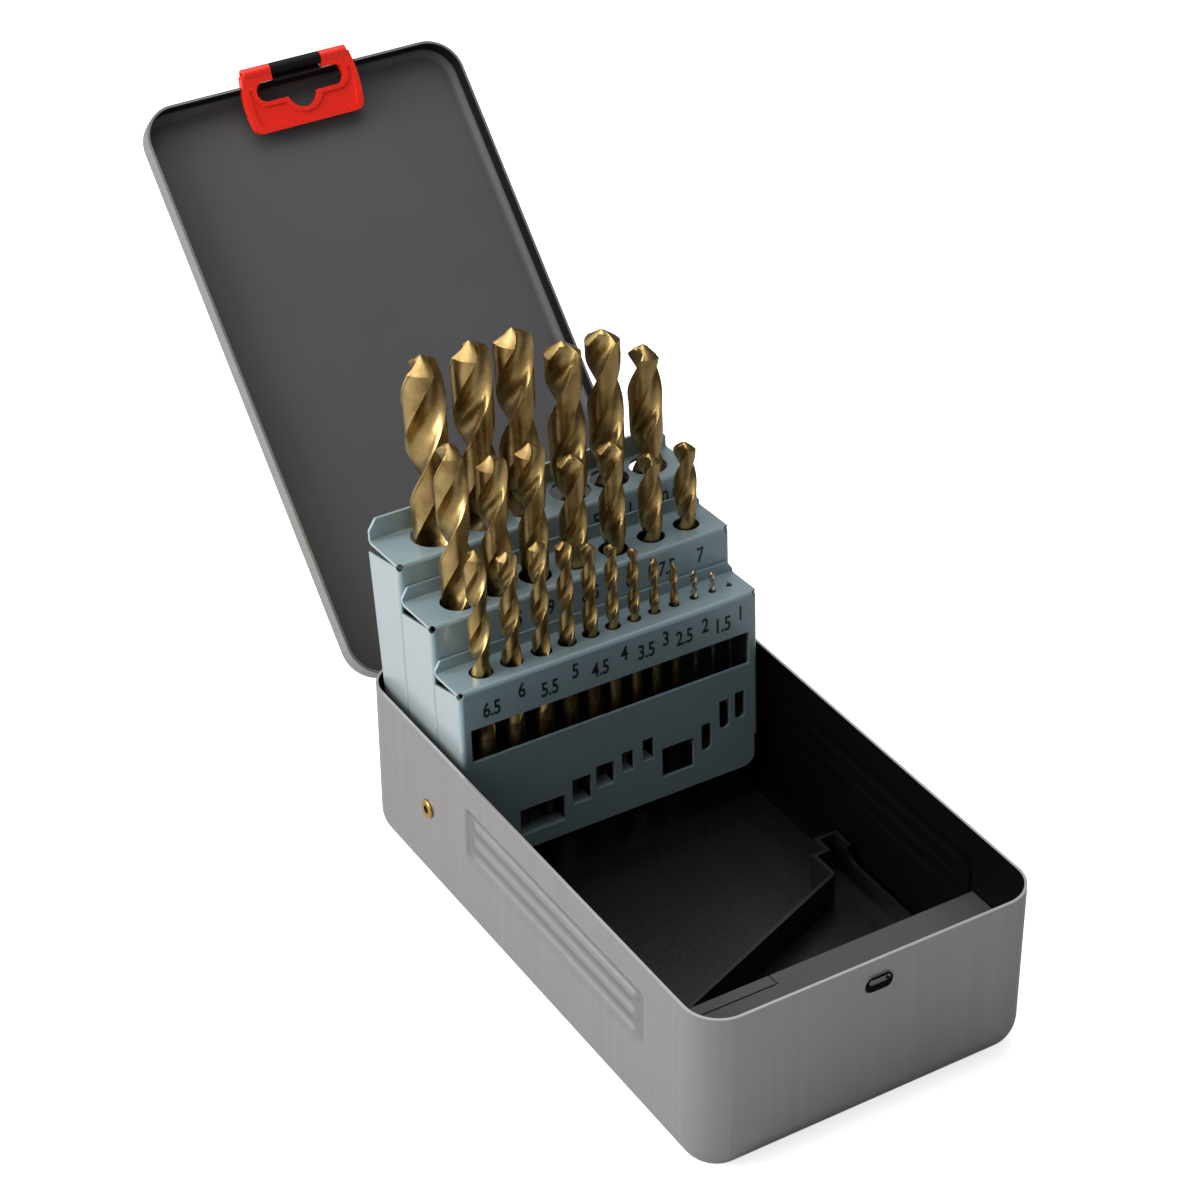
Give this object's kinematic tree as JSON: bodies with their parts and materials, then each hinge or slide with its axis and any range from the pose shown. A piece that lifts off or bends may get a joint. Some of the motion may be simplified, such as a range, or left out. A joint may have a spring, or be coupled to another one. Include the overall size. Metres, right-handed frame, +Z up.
{
  "type": "drill bit case",
  "caption": "Pressed steel case with a hinged lid, snap latch and folding stepped rack that stands twist drill bits upright.",
  "frame": {"origin": "centre of the base's flat underside", "axes": "+Z up, -Y towards the latch side, +X to the right; the lid hinges at the back"},
  "size_m": [0.1116, 0.3287, 0.1899],
  "materials": {
    "case_steel": "satin metallic",
    "liner": "matt moulded",
    "latch_plastic": "gloss",
    "wire": "satin",
    "rack_paint": "satin paint",
    "brass": "satin",
    "bit_coating": "bright coating",
    "bit_steel": "bright"
  },
  "bodies": {
    "base": {"base_shell": "case_steel", "base_liner": "liner", "hinge_pin": "wire", "pivot_rivet_left": "brass", "pivot_rivet_right": "brass", "pivot_spacer_left": "wire", "pivot_spacer_right": "wire"},
    "lid": {"lid_shell": "case_steel", "latch_pin": "wire"},
    "latch": {"latch": "latch_plastic"},
    "rack": {"rack_front": "rack_paint", "rack_middle": "rack_paint", "rack_rear": "rack_paint", "rack_floor": "rack_paint", "rack_rivets": "rack_paint"},
    "bit_6_5": {"bit_6_5": "bit_coating"},
    "bit_6_0": {"bit_6_0": "bit_coating"},
    "bit_5_5": {"bit_5_5": "bit_coating"},
    "bit_5_0": {"bit_5_0": "bit_coating"},
    "bit_4_5": {"bit_4_5": "bit_coating"},
    "bit_4_0": {"bit_4_0": "bit_coating"},
    "bit_3_5": {"bit_3_5": "bit_coating"},
    "bit_3_0": {"bit_3_0": "bit_coating"},
    "bit_2_5": {"bit_2_5": "bit_coating"},
    "bit_2_0": {"bit_2_0": "bit_steel"},
    "bit_1_5": {"bit_1_5": "bit_steel"},
    "bit_1_0": {"bit_1_0": "bit_steel"},
    "bit_10_0": {"bit_10_0": "bit_coating"},
    "bit_9_5": {"bit_9_5": "bit_coating"},
    "bit_9_0": {"bit_9_0": "bit_coating"},
    "bit_8_5": {"bit_8_5": "bit_coating"},
    "bit_8_0": {"bit_8_0": "bit_coating"},
    "bit_7_5": {"bit_7_5": "bit_coating"},
    "bit_7_0": {"bit_7_0": "bit_coating"},
    "bit_13_0": {"bit_13_0": "bit_coating"},
    "bit_12_5": {"bit_12_5": "bit_coating"},
    "bit_12_0": {"bit_12_0": "bit_coating"},
    "bit_11_5": {"bit_11_5": "bit_coating"},
    "bit_11_0": {"bit_11_0": "bit_coating"},
    "bit_10_5": {"bit_10_5": "bit_coating"}
  },
  "joints": [
    {"name": "lid_hinge", "type": "hinge", "parent": "base", "child": "lid", "pos_m": [0, 0.09385, 0.0544], "axis": [-1, 0, 0], "range_deg": [-135, 0]},
    {"name": "latch_pivot", "type": "hinge", "parent": "lid", "child": "latch", "pos_m": [0, 0.23103, 0.1879], "axis": [1, 0, 0], "range_deg": [-109, 0]},
    {"name": "rack_pivot", "type": "hinge", "parent": "base", "child": "rack", "pos_m": [0, 0.0556, 0.031], "axis": [-1, 0, 0], "range_deg": [-98, 0]},
    {"name": "bit_6_5_slide", "type": "slide", "parent": "rack", "child": "bit_6_5", "axis": [0, 0.0523, 0.9986], "range_m": [0, 0.0602]},
    {"name": "bit_6_0_slide", "type": "slide", "parent": "rack", "child": "bit_6_0", "axis": [0, 0.0523, 0.9986], "range_m": [0, 0.0562]},
    {"name": "bit_5_5_slide", "type": "slide", "parent": "rack", "child": "bit_5_5", "axis": [0, 0.0523, 0.9986], "range_m": [0, 0.0562]},
    {"name": "bit_5_0_slide", "type": "slide", "parent": "rack", "child": "bit_5_0", "axis": [0, 0.0523, 0.9986], "range_m": [0, 0.052]},
    {"name": "bit_4_5_slide", "type": "slide", "parent": "rack", "child": "bit_4_5", "axis": [0, 0.0523, 0.9986], "range_m": [0, 0.0494]},
    {"name": "bit_4_0_slide", "type": "slide", "parent": "rack", "child": "bit_4_0", "axis": [0, 0.0523, 0.9986], "range_m": [0, 0.0472]},
    {"name": "bit_3_5_slide", "type": "slide", "parent": "rack", "child": "bit_3_5", "axis": [0, 0.0523, 0.9986], "range_m": [0, 0.046]},
    {"name": "bit_3_0_slide", "type": "slide", "parent": "rack", "child": "bit_3_0", "axis": [0, 0.0523, 0.9986], "range_m": [0, 0.0428]},
    {"name": "bit_2_5_slide", "type": "slide", "parent": "rack", "child": "bit_2_5", "axis": [0, 0.0523, 0.9986], "range_m": [0, 0.0428]},
    {"name": "bit_2_0_slide", "type": "slide", "parent": "rack", "child": "bit_2_0", "axis": [0, 0.0523, 0.9986], "range_m": [0, 0.0396]},
    {"name": "bit_1_5_slide", "type": "slide", "parent": "rack", "child": "bit_1_5", "axis": [0, 0.0523, 0.9986], "range_m": [0, 0.0334]},
    {"name": "bit_1_0_slide", "type": "slide", "parent": "rack", "child": "bit_1_0", "axis": [0, 0.0523, 0.9986], "range_m": [0, 0.0324]},
    {"name": "bit_10_0_slide", "type": "slide", "parent": "rack", "child": "bit_10_0", "axis": [0, 0.0523, 0.9986], "range_m": [0, 0.0809]},
    {"name": "bit_9_5_slide", "type": "slide", "parent": "rack", "child": "bit_9_5", "axis": [0, 0.0523, 0.9986], "range_m": [0, 0.0809]},
    {"name": "bit_9_0_slide", "type": "slide", "parent": "rack", "child": "bit_9_0", "axis": [0, 0.0523, 0.9986], "range_m": [0, 0.0809]},
    {"name": "bit_8_5_slide", "type": "slide", "parent": "rack", "child": "bit_8_5", "axis": [0, 0.0523, 0.9986], "range_m": [0, 0.0809]},
    {"name": "bit_8_0_slide", "type": "slide", "parent": "rack", "child": "bit_8_0", "axis": [0, 0.0523, 0.9986], "range_m": [0, 0.0809]},
    {"name": "bit_7_5_slide", "type": "slide", "parent": "rack", "child": "bit_7_5", "axis": [0, 0.0523, 0.9986], "range_m": [0, 0.0809]},
    {"name": "bit_7_0_slide", "type": "slide", "parent": "rack", "child": "bit_7_0", "axis": [0, 0.0523, 0.9986], "range_m": [0, 0.0809]},
    {"name": "bit_13_0_slide", "type": "slide", "parent": "rack", "child": "bit_13_0", "axis": [0, 0.0785, 0.9969], "range_m": [0, 0.0926]},
    {"name": "bit_12_5_slide", "type": "slide", "parent": "rack", "child": "bit_12_5", "axis": [0, 0.0785, 0.9969], "range_m": [0, 0.0926]},
    {"name": "bit_12_0_slide", "type": "slide", "parent": "rack", "child": "bit_12_0", "axis": [0, 0.0785, 0.9969], "range_m": [0, 0.0926]},
    {"name": "bit_11_5_slide", "type": "slide", "parent": "rack", "child": "bit_11_5", "axis": [0, 0.0785, 0.9969], "range_m": [0, 0.0926]},
    {"name": "bit_11_0_slide", "type": "slide", "parent": "rack", "child": "bit_11_0", "axis": [0, 0.0785, 0.9969], "range_m": [0, 0.0926]},
    {"name": "bit_10_5_slide", "type": "slide", "parent": "rack", "child": "bit_10_5", "axis": [0, 0.0785, 0.9969], "range_m": [0, 0.0926]}
  ],
  "couplings": [
    {"joint": "latch_pivot", "follows": "lid_hinge", "ratio": 0.80741},
    {"joint": "rack_pivot", "follows": "lid_hinge", "ratio": 0.72593}
  ]
}
